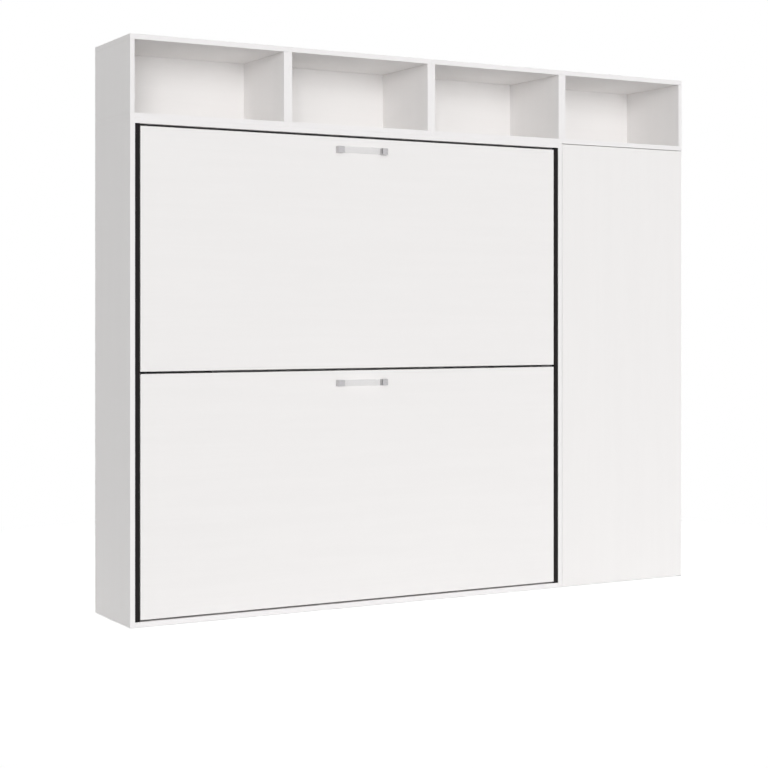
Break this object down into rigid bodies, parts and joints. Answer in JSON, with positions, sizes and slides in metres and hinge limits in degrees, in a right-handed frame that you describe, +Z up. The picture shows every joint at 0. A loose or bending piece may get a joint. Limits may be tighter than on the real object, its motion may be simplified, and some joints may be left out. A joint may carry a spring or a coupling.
{
  "type": "bunk wall bed",
  "caption": "White wall unit with stacked lengthwise fold-down beds behind plain fronts with bow handles, a tall side cupboard and open boxes along the top",
  "frame": {"origin": "On the floor, at the middle of the outer box of the unit with its handles", "axes": "+X to the right as seen from the front, -Y out of the fronts toward the room, +Z up; millimetres in the source"},
  "size_m": [2.92, 0.455, 2.48],
  "materials": {
    "white_melamine": "satin",
    "hardboard": "matte",
    "dark_strip": "matte",
    "zinc": "satin",
    "grey_frame": "satin",
    "black_steel": "satin",
    "chrome_post": "polished",
    "clear_bar": "polished",
    "bright_steel": "polished",
    "beech": "satin",
    "black_plastic": "matte",
    "grey_plastic": "matte",
    "pale_plastic": "matte",
    "ticking": "matte",
    "webbing": "matte"
  },
  "bodies": {
    "cabinet": {"bed_side_left": "white_melamine", "bed_side_right": "white_melamine", "bed_bottom": "white_melamine", "bed_top": "white_melamine", "bed_backs": "hardboard", "mid_shelf": "white_melamine", "wall_rails": "hardboard", "filler_strips": "dark_strip", "glides": "grey_plastic", "bed_pivots": "zinc", "spring_studs": "zinc", "column_side_left": "white_melamine", "column_side_right": "white_melamine", "column_bottom": "white_melamine", "column_top": "white_melamine", "column_back": "hardboard", "column_shelves": "white_melamine", "shelf_pins": "zinc", "hanging_rail": "bright_steel", "rail_sockets": "bright_steel", "door_pivots": "zinc", "door_catch": "pale_plastic", "cube_1_case": "white_melamine", "cube_1_back": "white_melamine", "cube_2_case": "white_melamine", "cube_2_back": "white_melamine", "cube_3_case": "white_melamine", "cube_3_back": "white_melamine", "cube_4_case": "white_melamine", "cube_4_back": "white_melamine"},
    "lower_bed": {"lower_front": "white_melamine", "lower_handle_posts": "chrome_post", "lower_handle_bar": "clear_bar", "lower_frame": "grey_frame", "lower_frame_caps": "black_plastic", "lower_slats": "beech", "lower_slat_holders": "black_plastic", "lower_mattress": "ticking", "lower_straps": "webbing", "leg_brackets": "grey_frame"},
    "upper_bed": {"upper_front": "white_melamine", "upper_handle_posts": "chrome_post", "upper_handle_bar": "clear_bar", "upper_frame": "grey_frame", "upper_frame_caps": "black_plastic", "upper_slats": "beech", "upper_slat_holders": "black_plastic", "upper_mattress": "ticking", "upper_straps": "webbing", "guard_rail": "grey_frame"},
    "lower_gas_tubes": {"lower_spring_tubes": "black_steel"},
    "lower_gas_rods": {"lower_spring_rods": "bright_steel"},
    "upper_gas_tubes": {"upper_spring_tubes": "black_steel"},
    "upper_gas_rods": {"upper_spring_rods": "bright_steel"},
    "leg_left": {"leg_left": "black_steel"},
    "leg_right": {"leg_right": "black_steel"},
    "door": {"door": "white_melamine", "door_bushes": "pale_plastic", "strike_plate": "zinc"}
  },
  "joints": [
    {"name": "lower_bed_fold", "type": "hinge", "parent": "cabinet", "child": "lower_bed", "pos_m": [-0.365, -0.1555, 0.282], "axis": [1, 0, 0], "range_deg": [0, 90]},
    {"name": "lower_gas_swing", "type": "hinge", "parent": "cabinet", "child": "lower_gas_tubes", "pos_m": [-0.365, -0.0255, 0.612], "axis": [1, 0, 0], "range_deg": [0, 18.63]},
    {"name": "lower_gas_stroke", "type": "slide", "parent": "lower_gas_tubes", "child": "lower_gas_rods", "axis": [0, 0.2614, 0.9652], "range_m": [0, 0.16679]},
    {"name": "upper_bed_fold", "type": "hinge", "parent": "cabinet", "child": "upper_bed", "pos_m": [-0.365, -0.1555, 1.32], "axis": [1, 0, 0], "range_deg": [0, 90]},
    {"name": "upper_gas_swing", "type": "hinge", "parent": "cabinet", "child": "upper_gas_tubes", "pos_m": [-0.365, -0.0255, 1.65], "axis": [1, 0, 0], "range_deg": [0, 18.63]},
    {"name": "upper_gas_stroke", "type": "slide", "parent": "upper_gas_tubes", "child": "upper_gas_rods", "axis": [0, 0.2614, 0.9652], "range_m": [0, 0.16679]},
    {"name": "leg_left_fold", "type": "hinge", "parent": "lower_bed", "child": "leg_left", "pos_m": [-1.353, -0.1555, 1.0606], "axis": [0, 0, -1], "range_deg": [0, 90]},
    {"name": "leg_right_fold", "type": "hinge", "parent": "lower_bed", "child": "leg_right", "pos_m": [0.623, -0.1555, 1.0606], "axis": [0, 0, 1], "range_deg": [0, 90]},
    {"name": "door_swing", "type": "hinge", "parent": "cabinet", "child": "door", "pos_m": [1.45, -0.1895, 0.004], "axis": [0, 0, 1], "range_deg": [0, 105]}
  ],
  "couplings": [
    {"joint": "lower_gas_swing", "follows": "lower_bed_fold", "ratio": 0.20691},
    {"joint": "lower_gas_stroke", "follows": "lower_bed_fold", "m_per_rad": 0.10612},
    {"joint": "upper_gas_swing", "follows": "upper_bed_fold", "ratio": 0.20691},
    {"joint": "upper_gas_stroke", "follows": "upper_bed_fold", "m_per_rad": 0.10612}
  ]
}
